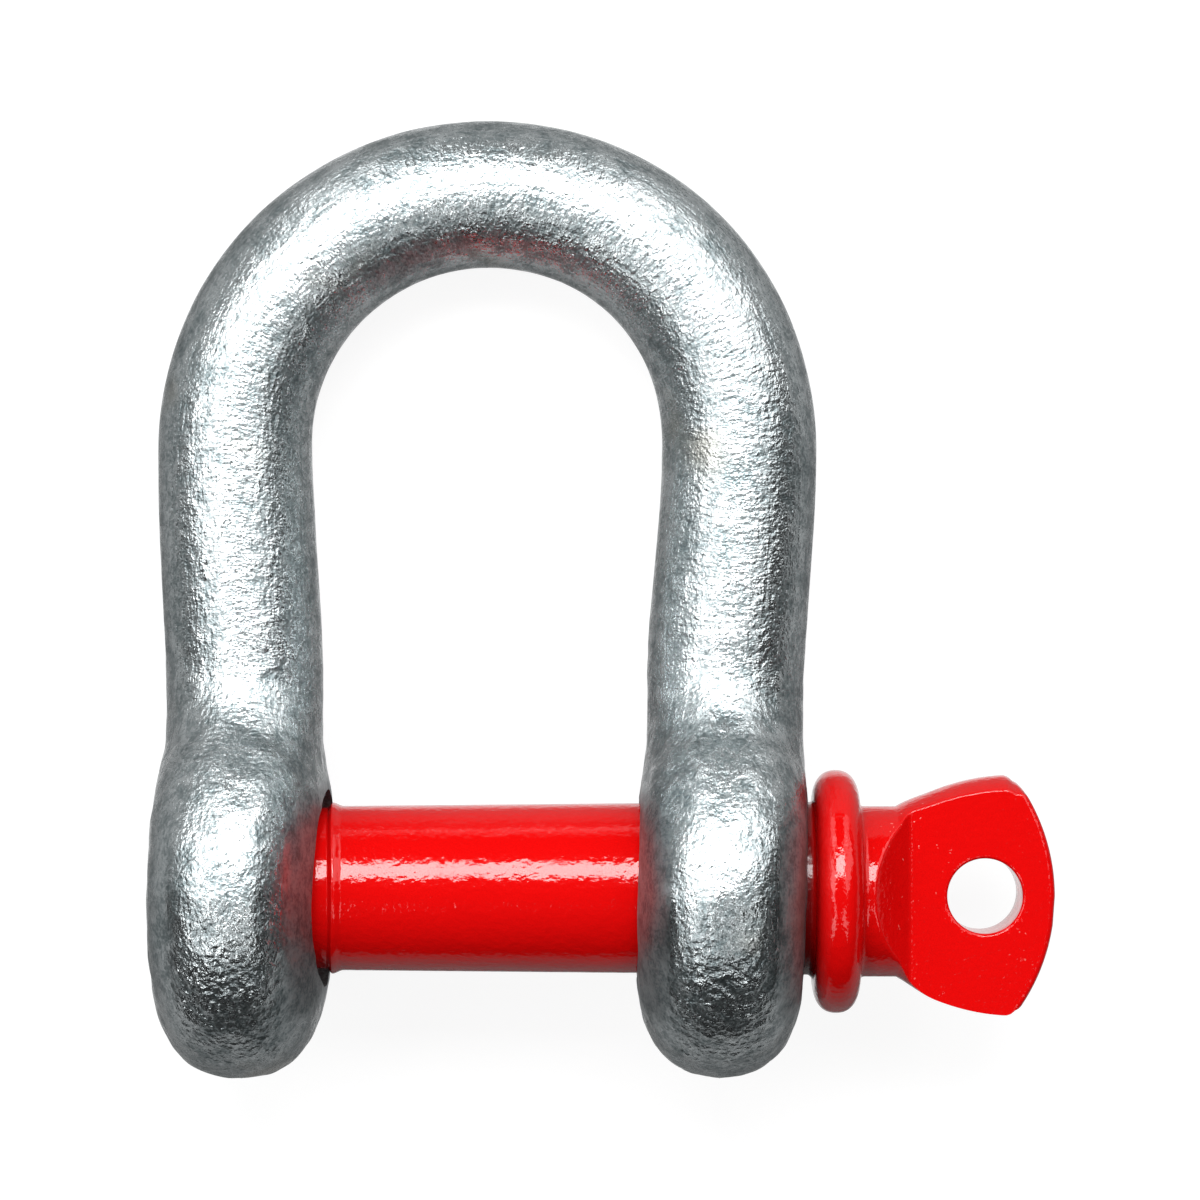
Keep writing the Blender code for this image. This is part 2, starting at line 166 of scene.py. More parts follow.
def noise(points, cell_size, seed):
    """Smooth lattice noise from 0 to 1: each cell's eight corner numbers, mixed by a fifth-power fade."""
    p = points / cell_size
    cell = np.floor(p)
    f = p - cell
    f = f * f * f * (f * (f * 6 - 15) + 10)
    total = 0.0
    for dx in (0, 1):
        for dy in (0, 1):
            for dz in (0, 1):
                corner = hashed(cell[..., 0] + dx, cell[..., 1] + dy, cell[..., 2] + dz, seed)
                weight = (np.where(dx, f[..., 0], 1 - f[..., 0]) * np.where(dy, f[..., 1], 1 - f[..., 1])
                          * np.where(dz, f[..., 2], 1 - f[..., 2]))
                total = total + weight * corner
    return total


def dents(points, cell_size, seed):
    """Distance to the nearest dent's middle, one dent a cell: 0 at the middle, up to 1 between dents."""
    p = points / cell_size
    cell = np.floor(p)
    nearest = np.full(p.shape[:-1], 9.0)
    for dx in (-1, 0, 1):
        for dy in (-1, 0, 1):
            for dz in (-1, 0, 1):
                c = cell + np.array([dx, dy, dz])
                spot = [hashed(c[..., 0], c[..., 1], c[..., 2], seed + k) for k in range(3)]
                nearest = np.minimum(nearest, np.sum((c + np.stack(spot, axis=-1) - p) ** 2, axis=-1))
    return np.clip(np.sqrt(nearest), 0, 1)


# Meshes
def grid_object(name, points, bar, material, poles=(None, None)):
    """A closed skin: points is (stations, around, 3), closed round its second axis, with a pole or a flat
    cap at each end. bar, of the same shape, holds each point's millimetres along, across and in front of
    the bar's middle line, kept in two maps for the textures that follow the bar."""
    stations, around = points.shape[:2]
    verts, along_bar = points.reshape(-1, 3), bar.reshape(-1, 3)
    i = np.arange(stations - 1)[:, None] * around
    j = np.arange(around)[None, :]
    k = (j + 1) % around
    faces = np.stack([i + j, i + k, i + around + k, i + around + j], axis=-1).reshape(-1, 4).tolist()
    for end, pole in enumerate(poles):
        ring = np.arange(around) + (0 if end == 0 else (stations - 1) * around)
        if pole is None:
            faces.append((ring[::-1] if end == 0 else ring).tolist())
            continue
        verts = np.concatenate([verts, pole[None]])
        along_bar = np.concatenate([along_bar, along_bar[ring].mean(axis=0)[None]])
        top, after = np.full(around, len(verts) - 1), np.roll(ring, -1)
        faces += np.stack([top, after, ring] if end == 0 else [ring, after, top], axis=-1).tolist()
    mesh = bpy.data.meshes.new(name)
    mesh.from_pydata(verts.tolist(), [], faces)
    turn_outwards(mesh)
    corner = np.empty(len(mesh.loops), np.int32)
    mesh.loops.foreach_get("vertex_index", corner)
    for map_name, columns in (("bar_plane", (0, 1)), ("bar_depth", (2, 2))):
        layer = mesh.uv_layers.new(name=map_name)
        layer.data.foreach_set("uv", along_bar[corner][:, columns].astype(np.float32).ravel())
    mesh.materials.append(material)
    made = bpy.data.objects.new(name, mesh)
    bpy.context.scene.collection.objects.link(made)
    return made


def turn_outwards(mesh):
    """Turns all faces over where the closed skin's signed volume is below 0."""
    shape = bmesh.new()
    shape.from_mesh(mesh)
    if shape.calc_volume(signed=True) < 0:
        bmesh.ops.reverse_faces(shape, faces=shape.faces)
        shape.to_mesh(mesh)
    shape.free()


def bar_millimetres(points):
    """Millimetres along the bar's middle line, across it in the bow's plane, and in front of that plane."""
    middle = points.mean(axis=1, keepdims=True)
    step = np.linalg.norm(np.diff(middle[:, 0], axis=0), axis=-1)
    along = np.concatenate([[0.0], np.cumsum(step)])[:, None]
    outward = points[:, :1] - points[:, points.shape[1] // 2][:, None]
    outward = outward / np.maximum(np.linalg.norm(outward, axis=-1, keepdims=True), 1e-9)
    across = np.sum((points - middle) * outward, axis=-1)
    return np.stack(np.broadcast_arrays(along, across, points[..., 2]), axis=-1) / MM


def sort_by_place(shape):
    """Puts points, edges and faces in a fixed order, because a cut leaves them in a new one on each run."""
    keys = (
        (shape.verts, lambda point: tuple(point.co)),
        (shape.edges, lambda edge: sorted(point.index for point in edge.verts)),
        (shape.faces, lambda face: sorted(point.index for point in face.verts)),
    )
    for elements, key in keys:
        for rank, element in enumerate(sorted(elements, key=key)):
            element.index = rank
        elements.sort()


def drop_slivers(mesh):
    """Merges points that nearly touch, makes triangles, and takes out those that lie folded on each other,
    which are those with the same three corners. A second round takes what the first one uncovers."""
    shape = bmesh.new()
    shape.from_mesh(mesh)
    for _ in range(2):
        sort_by_place(shape)
        bmesh.ops.remove_doubles(shape, verts=shape.verts, dist=MERGE_GAP)
        bmesh.ops.dissolve_degenerate(shape, edges=shape.edges, dist=DEGENERATE_GAP)
        bmesh.ops.triangulate(shape, faces=shape.faces)
        shape.to_mesh(mesh)
        corners = np.empty(len(mesh.loops), np.int32)
        mesh.loops.foreach_get("vertex_index", corners)
        triangles = np.sort(corners.reshape(-1, 3), axis=1)
        _, kind, count = np.unique(triangles, axis=0, return_inverse=True, return_counts=True)
        shape.faces.ensure_lookup_table()
        folded = [shape.faces[i] for i in np.flatnonzero(count[kind.ravel()] > 1)]
        bmesh.ops.delete(shape, geom=folded, context="FACES")
    shape.to_mesh(mesh)
    shape.free()


def cut_out(target, cutters):
    """Takes the cutters out of the target for good, and smooths its shading except along crisp edges."""
    for cutter in cutters:
        modifier = target.modifiers.new(cutter.name, "BOOLEAN")
        modifier.operation = "DIFFERENCE"
        modifier.solver = "EXACT"
        modifier.object = cutter
    bpy.context.view_layer.update()
    done = bpy.data.meshes.new_from_object(target.evaluated_get(bpy.context.evaluated_depsgraph_get()))
    target.modifiers.clear()
    target.data = done
    for cutter in cutters:
        bpy.data.objects.remove(cutter)
    drop_slivers(done)
    done.shade_smooth()
    done.set_sharp_from_angle(angle=CRISP)


# Bow
def leg_radius(y):
    """The leg's radius, growing smoothly from the shoulder down to the top of the neck's fillet."""
    return smooth(SHOULDER_BAR, FOOT_BAR, (SHOULDER_Y - y) / (SHOULDER_Y - FILLET_TOP))


def half_depth(y):
    """Half the depth: the eye's circle, then an arc that touches both circle and leg, then the leg."""
    eye = np.sqrt(np.maximum(RIM**2 - y**2, 0.0))
    arc = np.sqrt(np.maximum(NECK_FILLET**2 - (FILLET_TOP - y) ** 2, 0.0))
    fillet = FOOT_BAR + NECK_FILLET - arc
    return np.where(y <= FILLET_LOW, eye, np.where(y < FILLET_TOP, fillet, leg_radius(y)))


def side_offset(side, y):
    """How far the middle line lies from the bow's middle: from shoulder to foot, then from foot to eye."""
    above = smooth(side["shoulder"], side["foot"], (SHOULDER_Y - y) / (SHOULDER_Y - FOOT_Y))
    below = smooth(side["eye"], side["foot"], (y - SPREAD_Y) / (FOOT_Y - SPREAD_Y))
    return np.where(y > FOOT_Y, above, below)


def eye_half(side, y, z, inner):
    """Half the eye's thickness, a superellipse over the distance from the pin's axis. The left eye's inner
    face rounds off sooner in front, as the photo shows the bore's mouth set back."""
    q = np.hypot(y, z)
    share = np.maximum(z + SET_BACK, 0.0) / (q + SET_BACK)
    front = (np.sqrt(share**2 + EASE**2) - EASE) / (math.sqrt(1 + EASE**2) - EASE) * side["eased"] * inner
    p = FLATNESS + (EASED_FLATNESS - FLATNESS) * front
    n = ROUNDNESS + (EASED_ROUNDNESS - ROUNDNESS) * front
    return side["thick"] / 2 * (1 - np.minimum(q / RIM, 1.0) ** p) ** (1 / n)


def side_surface(side, heights, angles):
    """One leg and its eye: the wider of the two at each point, joined by a high power mean."""
    y = heights[:, None]
    cos, sin = np.cos(angles)[None, :], np.sin(angles)[None, :]
    z = half_depth(y) * sin
    eye = eye_half(side, y, z, cos < 0)
    leg = smooth(0.0, leg_radius(y), 2 * y / FOOT_Y) * np.abs(cos)
    wide = (eye**JOIN_POWER + leg**JOIN_POWER) ** (1 / JOIN_POWER)
    x = side["sign"] * (side_offset(side, y) + np.sign(np.round(cos, 9)) * wide)
    return np.stack(np.broadcast_arrays(x, y, z), axis=-1)


def crown_surface(turns, angles):
    """The bar's circle carried round the crown, thinnest at the top. Its middle line keeps to a circle on
    the left, and on the right runs in smoothly to the shoulder, nearer to the middle, with a slight bulge."""
    a = turns[:, None]
    r = SHOULDER_BAR + (CROWN_BAR - SHOULDER_BAR) * np.sin(a)
    reach = smooth(RIGHT["shoulder"], CROWN_SPINE, a / (math.pi / 2)) + CROWN_BULGE * np.sin(2 * a) ** 2
    g = np.where(a > math.pi / 2, CROWN_SPINE, reach) + r * np.cos(angles)[None, :]
    return np.stack([g * np.cos(a), SHOULDER_Y + g * np.sin(a), r * np.sin(angles)[None, :]], axis=-1)


def outward_normals(points):
    """Unit normals of a grid of points, closed round its second axis: the two directions' cross product."""
    along = np.gradient(points, axis=0)
    around = np.roll(points, -1, axis=1) - np.roll(points, 1, axis=1)
    n = np.cross(around, along)
    n /= np.maximum(np.linalg.norm(n, axis=-1, keepdims=True), 1e-12)
    out = points - points.mean(axis=1, keepdims=True)
    return n * np.sign(np.sum(n * out))


def side_heights():
    """Heights of one side's sections, from the eye's lowest point up to just below the shoulder."""
    turn = (np.arange(1, EYE_ROWS + 1) / EYE_ROWS) * math.pi / 2
    return np.concatenate([
        -RIM * np.cos(turn),
        np.linspace(0, FILLET_LOW, UPPER_EYE_ROWS)[1:],
        np.linspace(FILLET_LOW, FILLET_TOP, FILLET_ROWS)[1:],
        np.linspace(FILLET_TOP, SHOULDER_Y, LEG_ROWS)[1:-1],
    ])


def skin_depth(points):
    """How far the forging's skin lies inwards: long and short waves, dents that fade out above the necks,
    pits that are deepest on the eyes' lower halves, and ripples that run round the necks."""
    y = points[..., 1]
    eye = fade(1.0, 0.0, y, EYE_ENDS)
    lower = fade(1.0, UPPER_SHARE, y, LOWER_ENDS)
    neck = fade(0.0, 1.0, y, NECK_BEGINS) * fade(1.0, 0.0, y, NECK_ENDS)
    wave = noise(points, LONG_WAVE, 3) * LONG_SHARE + noise(points, SHORT_WAVE, 5) * SHORT_SHARE
    dent = 1 - dents(points, DENT_CELL, 11)
    pit = noise(points, PIT_CELL, 17)
    ripple = noise(points * RIPPLE_SQUEEZE, RIPPLE_CELL, 23)
    depth = SKIN_DEPTH + WAVE_DEPTH * wave + eye * DENT_DEPTH * dent
    depth = depth + (PIT_DEPTH + EYE_PIT_DEPTH * eye * lower) * pit
    return depth + RIPPLE_DEPTH * neck * ripple


def make_bow(material):
    """Left side, crown and right side as one run of sections, moved in by the skin's depth, then bored."""
    angles = around_angles(BOW_AROUND)
    heights = side_heights()
    left = side_surface(LEFT, heights, angles)
    crown = crown_surface(np.linspace(math.pi, 0, CROWN_ROWS), angles)
    right = side_surface(RIGHT, heights, angles)[::-1]
    points = np.concatenate([left, crown, right])
    points = points - outward_normals(points) * skin_depth(points)[..., None]
    poles = [place(np.array([side["sign"] * side["eye"], -RIM + POLE_IN, 0.0])) for side in (LEFT, RIGHT)]
    bow = grid_object("bow_forging", place(points), bar_millimetres(points), material, poles)
    cut_out(bow, [left_bore(material), right_bore(material)])
    return bow


def flared(x, low, high, radius, fillet):
    """A bore's radius at x: it opens by a quarter-round fillet towards each face, at low and high."""
    near = np.maximum(np.maximum(low + fillet - x, x - (high - fillet)), 0.0)
    return radius + fillet - np.sqrt(np.maximum(fillet**2 - np.minimum(near, fillet) ** 2, 0.0))


def bore(name, x, radius, material):
    """A cutter turned about the pin's axis: radius is (stations, around)."""
    angles = around_angles(radius.shape[1])
    full = np.repeat(x[:, None], len(angles), axis=1)
    points = np.stack([full, radius * np.cos(angles), radius * np.sin(angles)], axis=-1)
    return grid_object(name, place(points), points / MM, material)


def tooth(share):
    """The thread's height over one pitch: 0 at its root, 1 at its crest, with smooth flanks between."""
    return smooth(0.0, 1.0, (np.abs(2 * (share % 1.0) - 1) - ROOT_SHARE) / FLANK_SHARE)


def left_bore(material):
    """The tapped bore: grooves that follow the thread and run out at both ends, and a wider mouth."""
    outer = -LEFT["eye"] - LEFT["thick"] / 2 * FACE_SHARE
    inside = np.linspace(outer - ROW_GAP, MOUTH_X + MOUTH_PAST, 130)
    x = np.concatenate([[outer - CUTTER_PAST], inside, [LEFT_CUTTER_END]])
    angles = around_angles(LEFT_AROUND)
    mouth = smooth(BORE_LEFT, MOUTH, (x - MOUTH_X) / MOUTH_RAMP)
    base = np.maximum(flared(x, outer, 1.0, BORE_LEFT, BORE_FILLET), mouth)
    grooves = GROOVE_DEPTH * (1 - tooth(x[:, None] / PITCH - angles / math.tau))
    run_in = smooth(0.0, 1.0, (x - outer) / GROOVE_RUN_IN)
    run_out = smooth(1.0, 0.0, (x - MOUTH_X + GROOVE_SHORT) / GROOVE_RUN_OUT)
    return bore("left_bore", x, base[:, None] + grooves * (run_in * run_out)[:, None], material)


def right_bore(material):
    """The plain bore, with closely set sections at both fillets."""
    half = RIGHT["thick"] / 2 * FACE_SHARE
    low, high = RIGHT["eye"] - half, RIGHT["eye"] + half
    x = np.concatenate([
        [low - CUTTER_PAST],
        np.linspace(low, low + 0.001, 8),
        np.linspace(low + 0.003, high - 0.003, 12),
        np.linspace(high - 0.001, high, 8),
        [high + CUTTER_PAST],
    ])
    radius = flared(x, low, high, BORE_RIGHT, BORE_FILLET)[:, None]
    return bore("right_bore", x, np.repeat(radius, HOLE_AROUND, axis=1), material)


# Pin
def pin_angles(count):
    """Angles round the pin from +y, closest together where the head's flats end: equal steps of a density
    that peaks at those edges."""
    t = np.linspace(0, math.tau, 7201)
    peaks = sum(EDGE_CROWDING * np.exp(-(((t - e) / EDGE_REACH) ** 2)) for e in np.radians(FLAT_EDGES))
    density = 1 + peaks
    total = np.concatenate([[0], np.cumsum((density[1:] + density[:-1]) / 2)])
    return np.interp(np.arange(count) / count * total[-1], total, t)


def turned(angles, x, radius, drop=0.0):
    """Round sections at x, lowered by the drop: the radius is (stations,) or (stations, around)."""
    radius = radius[:, None] if radius.ndim == 1 else radius
    full = np.repeat(x[:, None], len(angles), axis=1)
    drop = np.broadcast_to(np.reshape(drop, (-1, 1)), full.shape)
    return np.stack([full, radius * np.cos(angles) - drop, radius * np.sin(angles)], axis=-1)


def threaded_end(angles):
    """The end face's rings, then the thread: the crest's radius less the groove, under the chamfer."""
    face = np.array([0.25, 0.5, 0.75, 0.9, 0.97]) * (THREAD_CREST - END_FACE_IN)
    x = PIN_END_X + np.concatenate([[FIRST_ROW], np.arange(1, THREAD_ROWS + 1) * THREAD_STEP])
    chamfer = THREAD_CREST - CHAMFER + (x - PIN_END_X)
    body = fade(THREAD_CREST, BAND, x, BAND_BEGINS)[:, None]
    groove = (THREAD_CREST - THREAD_ROOT) * (1 - tooth(x[:, None] / PITCH - angles / math.tau))
    groove = groove * fade(1.0, 0.0, x, THREAD_ENDS)[:, None]
    radius = np.minimum(body - groove, chamfer[:, None])
    return [turned(angles, np.full(len(face), PIN_END_X), face), turned(angles, x, radius)]


def shank(angles):
    """The band in the bore's mouth, the ridge beside it, and the shank, which thickens to the collar."""
    band_x = np.linspace(PIN_END_X + THREAD_ROWS * THREAD_STEP, RIDGE_X, 12)[1:]
    ridge_x = np.linspace(RIDGE_X, SHANK_X, 34)[1:]
    ridge = np.where(ridge_x < RIDGE_TOP_X, fade(BAND, THREAD_CREST, ridge_x, RIDGE_RISE),
                     fade(THREAD_CREST, SHANK, ridge_x, RIDGE_FALL))
    shank_x = np.linspace(SHANK_X, COLLAR_X - COLLAR_FILLET, 56)[1:]
    share = (shank_x - SHANK_X) / (COLLAR_X - COLLAR_FILLET - SHANK_X)
    radius = np.concatenate([np.full(len(band_x), BAND), ridge, SHANK + (SHANK_AT_COLLAR - SHANK) * share])
    return [turned(angles, np.concatenate([band_x, ridge_x, shank_x]), radius)]


def collar(angles):
    """The collar's rim, a superellipse in section, between two quarter-round fillets."""
    a = np.linspace(0, math.pi, 57)
    base = np.where(a < math.pi / 2, SHANK_AT_COLLAR, NECK_R) + COLLAR_FILLET
    rise = np.sin(a) ** (2 / COLLAR_POWER)
    run = np.sign(-np.cos(a)) * np.abs(np.cos(a)) ** (2 / COLLAR_POWER)
    rim_x = COLLAR_X + COLLAR_THICK / 2 + run * COLLAR_THICK / 2
    rim = base + (COLLAR_R - base) * rise
    t = np.linspace(0, math.pi / 2, 7)[1:-1]
    lifted, laid = COLLAR_FILLET * (1 - np.cos(t)), COLLAR_FILLET * (1 - np.sin(t))
    return [
        turned(angles, COLLAR_X - laid, SHANK_AT_COLLAR + lifted, COLLAR_DROP * t / (math.pi / 2)),
        turned(angles, rim_x, rim, COLLAR_DROP),
        turned(angles, NECK_X + lifted, NECK_R + laid, COLLAR_DROP),
    ]


def soft_min(a, b, softness):
    """The smaller of a and b, rounded off where they cross."""
    return -softness * np.logaddexp(-a / softness, -b / softness)


def fan_width(x, inset):
    """Half the head's width: from the neck's radius along a parabola to the widest place, then a corner."""
    widest = HEAD_END_X - END_R + math.sqrt(END_R**2 - HALF_WIDTH**2)
    share = np.clip((x - FAN_X) / (widest - FAN_X), 0, 1)
    width = NECK_R + (HALF_WIDTH - NECK_R) * (1 - (1 - share) ** 2)
    past = np.clip(x - widest + CORNER_R, 0, CORNER_R)
    return width - CORNER_R + np.sqrt(CORNER_R**2 - past**2 * CORNER_SHARE) - inset


def head_section(x, angles, inset):
    """y and z of the pressed head at x (an array of the same shape), inset from its full size. The round
    neck's section gets squarer below, and its depth is held under the ramp and then the flat."""
    up, out = np.cos(angles), np.sin(angles)
    share = (x - FAN_X) / NECK_LENGTH
    power = 2 / smooth(2.0, HEAD_SQUARENESS, share)
    lower = up < 0
    tall = np.where(lower, -(np.abs(up) ** power), up)
    deep = np.where(lower, np.sign(out) * np.abs(out) ** power, out) * (NECK_R - inset)
    ramp = NECK_R - (x - RAMP_X) * RAMP_SLOPE
    limit = -soft_min(-ramp, np.full_like(x, -FLAT), RAMP_SOFTNESS) - inset
    deep = np.sign(deep) * soft_min(np.abs(deep), limit, FLAT_SOFTNESS)
    deep = np.where(np.abs(out) < 1e-9, 0.0, deep)
    return -smooth(COLLAR_DROP, HEAD_DROP, share) + fan_width(x, inset) * tall, deep


def round_end(y):
    """The x of the head's end at height y: an arc about a point on the head's middle line."""
    return HEAD_END_X - END_R + np.sqrt(np.maximum(END_R**2 - (y + HEAD_DROP) ** 2, 0))


def neck_and_head(angles):
    """Sections from the collar to the head's end. Each point's x is pulled towards the round end by a share
    that grows along the head, in a few rounds, because the section depends on x too. The rings that follow
    shrink to the end face's middle."""
    plain = np.concatenate([
        np.linspace(NECK_X + COLLAR_FILLET + ROW_GAP, FINE_ROWS_END, 52),
        np.linspace(FINE_ROWS_END, HEAD_END_X - HEAD_EDGE, 46)[1:],
    ])
    t = np.linspace(0, math.pi / 2, 9)[1:]
    nominal = np.concatenate([plain, HEAD_END_X - HEAD_EDGE * (1 - np.sin(t))])[:, None]
    inset = np.concatenate([np.zeros(len(plain)), HEAD_EDGE * (1 - np.cos(t))])[:, None]
    pull = smooth(0.0, 1.0, (nominal - STRETCH_X) / (HEAD_END_X - STRETCH_X))
    x = np.repeat(nominal, len(angles), axis=1)
    for _ in range(12):
        y, z = head_section(x, angles, inset)
        x = 0.5 * x + 0.5 * (nominal + pull * (round_end(y) - HEAD_END_X))
    share = np.array([0.96, 0.88, 0.76, 0.6, 0.42, 0.22])[:, None]
    end_y = -HEAD_DROP + (y[-1] + HEAD_DROP) * share
    end_face = np.stack([round_end(end_y), end_y, z[-1] * share], axis=-1)
    return [np.stack([x, y, z], axis=-1), end_face]


def make_pin(material):
    """All the pin's sections as one skin. In front, the ridge leans towards the head by a bell curve."""
    angles = pin_angles(PIN_AROUND)
    points = np.concatenate([*threaded_end(angles), *shank(angles), *collar(angles), *neck_and_head(angles)])
    bell = np.exp(-(((points[..., 0] - LEAN_X) / LEAN_REACH) ** 2))
    points[..., 0] += RIDGE_LEAN * (bell * np.maximum(np.sin(angles), 0) ** 2)
    poles = [place(np.array([PIN_END_X, 0, 0])), place(np.array([HEAD_END_X, -HEAD_DROP, 0]))]
    pin = grid_object("screw_pin", place(points), points / MM, material, poles)
    cut_out(pin, [head_hole(material)])
    return pin


def head_hole(material):
    """The cutter for the head's hole, turned about z, with a fillet at each flat."""
    turn = np.linspace(0.2, math.pi / 2, 8)
    z = np.concatenate([
        [-0.010],
        -FLAT + HOLE_FILLET * (1 - np.cos(turn)),
        [-0.002, 0.002],
        FLAT - HOLE_FILLET * (1 - np.cos(turn[::-1])),
        [0.010],
    ])
    radius = flared(z, -FLAT, FLAT, HOLE_R, HOLE_FILLET)[:, None]
    angles = around_angles(HOLE_AROUND)
    full = np.repeat(z[:, None], HOLE_AROUND, axis=1)
    points = np.stack([HOLE_X + radius * np.cos(angles), -HEAD_DROP + radius * np.sin(angles), full], axis=-1)
    return grid_object("head_hole", place(points), points / MM, material)


# Materials
class Nodes:
    """One material, with short calls for its nodes. An input takes a number, a colour or an output."""

    def __init__(self, name):
        self.material = bpy.data.materials.new(name)
        self.material.use_nodes = True
        self.tree = self.material.node_tree
        self.shader = self.tree.nodes["Principled BSDF"]

    def fill(self, node, values):
        """Links or sets each named input."""
        for key, value in values.items():
            if isinstance(value, bpy.types.NodeSocket):
                self.tree.links.new(value, node.inputs[key])
            else:
                node.inputs[key].default_value = value

    def add(self, kind, values, **settings):
        """A new node's outputs."""
        node = self.tree.nodes.new("ShaderNode" + kind)
        for key, value in settings.items():
            setattr(node, key, value)
        self.fill(node, values)
        return node.outputs

    def math(self, operation, a, b=0.0):
        """The operation on a and b."""
        return self.add("Math", {0: a, 1: b}, operation=operation)[0]

    def times(self, a, b):
        """a times b."""
        return self.math("MULTIPLY", a, b)

    def plus(self, a, b):
        """a plus b."""
        return self.math("ADD", a, b)

    def spread(self, value, low, high, to_low=0.0, to_high=1.0):
        """From to_low to to_high, smoothly, while the value goes from low to high."""
        return self.add("MapRange", {0: value, 1: low, 2: high, 3: to_low, 4: to_high},
                        interpolation_type="SMOOTHSTEP")[0]

    def noise(self, vector, pattern):
        """Noise whose pattern is its scale, detail and roughness."""
        values = dict(zip(("Scale", "Detail", "Roughness"), pattern))
        return self.add("TexNoise", {"Vector": vector, **values})[0]

    def stretched(self, vector, scale):
        """The vector with each part times its scale."""
        return self.add("Mapping", {"Vector": vector, "Scale": scale})[0]

    def split(self, vector):
        """The vector's x, y and z."""
        return self.add("SeparateXYZ", {0: vector})

    def joined(self, x, y, z):
        """A vector of x, y and z."""
        return self.add("CombineXYZ", {0: x, 1: y, 2: z})[0]

    def colour(self, share, low, high):
        """A colour between two others, each given as red, green and blue or as an output."""
        ends = [end if isinstance(end, bpy.types.NodeSocket) else (*end, 1) for end in (low, high)]
        return self.add("Mix", {0: share, 6: ends[0], 7: ends[1]}, data_type="RGBA")[2]

    def bump(self, height, strength, distance):
        """The normal of a surface with this height on it."""
        return self.add("Bump", {"Height": height, "Strength": strength, "Distance": distance})[0]


# Zinc's colours; ZINC_SHADE is the dark that the painted shade mixes in
ZINC_DARK, ZINC_LIGHT = (0.245, 0.30, 0.312), (0.88, 0.94, 0.955)
ZINC_TAN, ZINC_SHADE = (0.56, 0.53, 0.46), (0.05, 0.06, 0.065)

# Zinc's patterns as scale, detail and roughness: first per metre, then per millimetre of the bar
BLOTCH, CHIP, TAN, FACET_SCALE = (70, 3, 0.6), (900, 2, 0.6), (48, 2, 0.5), 720.0
MOTTLE, WORM, FLECK = (0.36, 3, 0.6), (1.45, 2, 0.6), (1.9, 2, 0.6)
DASH, DASH_STRETCH, DASH_ARCH = (1.0, 2, 0.6), (1.5, 0.42, 0.42), 0.35
FIBRE, FIBRE_STRETCH = (1.0, 3, 0.6), (0.22, 1.5, 1.5)

# Zones where the zinc changes: along the scene's axes in metres, then across the bar in millimetres
# The zones of x and y beside the pin, with FACE_SHADE, bound the painted shade on the eyes' faces
EYES_Y, LOWER_Y, BESIDE_X = (-0.034, -0.022), (-0.052, -0.040), (-0.0560, -0.0530)
BESIDE_TOP_Y, BESIDE_LOW_Y = (-0.030, -0.022), (-0.065, -0.057)
BAR_SIDE, FACE_CALM, FACE_SHADE = (3.5, 8.5), (5.5, 9.5), (6.0, 10.0)

# Zinc's shares in its tint, height and painted shade, and its roughness and bump
BLOTCH_TINT, MOTTLE_TINT, FIBRE_TINT = 0.45, 0.30, 0.25
MOTTLE_HEIGHT, WORM_HEIGHT, FIBRE_HEIGHT, DASH_HEIGHT = 0.55, 0.42, 0.26, 0.36
CHIP_UPPER, CHIP_LOWER = 0.10, 0.42
SHADE_BESIDE, SHADE_EDGE_ON, TAN_MOST = 0.62, 0.55, 0.55
ROUGH_DARK, ROUGH_LIGHT, ROUGH_BESIDE = 0.34, 0.24, 0.52
ZINC_BUMP, CALM_STRENGTH = 0.0005, 0.30


def zinc_share(n, where, bar, mottle, fibre):
    """How light the zinc is from place to place: half blotches, mottle and fibre, half small flecks."""
    mix = n.plus(n.times(n.noise(where, BLOTCH), BLOTCH_TINT), n.times(mottle, MOTTLE_TINT))
    mix = n.plus(mix, n.times(fibre, FIBRE_TINT))
    fleck = n.plus(n.times(n.noise(bar, FLECK), 0.6), n.times(mottle, 0.4))
    return n.plus(n.times(n.spread(mix, 0.38, 0.62), 0.5), n.times(n.spread(fleck, 0.38, 0.60), 0.5))


def zinc_colour(n, where, share, beside):
    """From dark to light by the share, with tan patches, then painted shade beside the pin and edge-on."""
    tan = n.spread(n.noise(where, TAN), 0.60, 0.72, 0.0, TAN_MOST)
    worn = n.colour(tan, n.colour(share, ZINC_DARK, ZINC_LIGHT), ZINC_TAN)
    # Painted shade: the zinc darkens towards ZINC_SHADE where seen edge-on, in place of dark reflections
    facing = n.add("LayerWeight", {"Blend": 0.5})["Facing"]
    edge_on = n.spread(facing, 0.35, 0.90, 0.0, SHADE_EDGE_ON)
    return n.colour(n.math("MAXIMUM", n.times(beside, SHADE_BESIDE), edge_on), worn, ZINC_SHADE)


def zinc_height(n, where, bar, mottle, fibre, dash, side, eyes, lower):
    """The grain's height: mottle and worm all over, fibres at the bar's sides and dashes on its front, and
    on the eyes facets and chips instead of dashes, strongest below."""
    height = n.plus(n.times(mottle, MOTTLE_HEIGHT), n.times(n.noise(bar, WORM), WORM_HEIGHT))
    along = n.times(fibre, n.times(side, FIBRE_HEIGHT))
    front = n.math("SUBTRACT", DASH_HEIGHT, n.times(side, FIBRE_HEIGHT))
    dashes = n.times(dash, n.times(n.math("SUBTRACT", 1.0, eyes), front))
    facets = n.add("TexVoronoi", {"Vector": where, "Scale": FACET_SCALE})["Distance"]
    chips = n.times(n.plus(facets, n.noise(where, CHIP)), n.times(eyes, lower))
    return n.plus(height, n.plus(chips, n.plus(along, dashes)))


